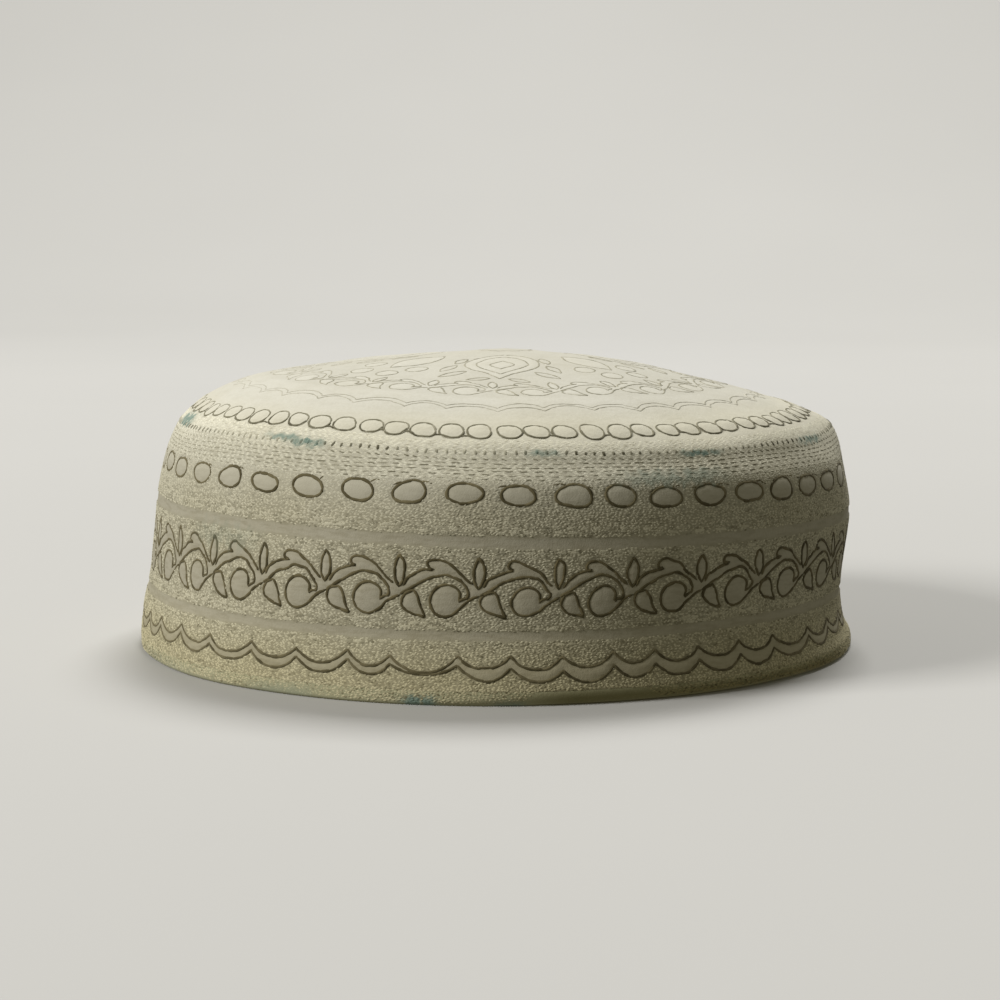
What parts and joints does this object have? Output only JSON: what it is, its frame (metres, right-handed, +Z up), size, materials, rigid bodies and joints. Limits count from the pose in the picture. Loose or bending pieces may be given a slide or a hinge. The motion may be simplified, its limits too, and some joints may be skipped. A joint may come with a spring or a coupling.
{
  "type": "tubeteika skullcap",
  "caption": "Round quilted cotton skullcap with an upright side band, a low domed crown and a rolled rim hem, hollow and open below to sit on a head.",
  "frame": {"origin": "middle of the rim, on the plane that the hem rests on", "axes": "+Z up through the crown, the picture's front towards -Y and its right towards +X"},
  "size_m": [0.1864, 0.1864, 0.0762],
  "materials": {
    "crown_cotton": "matte quilted cotton, cream, with thin olive outlines",
    "band_cotton": "matte quilted cotton, aged cream, with dark olive outlines",
    "hem_cotton": "smooth folded cotton, aged cream, with faded specks"
  },
  "bodies": {
    "root": {"crown": "crown_cotton", "band": "band_cotton", "rim_hem": "hem_cotton"}
  },
  "joints": []
}
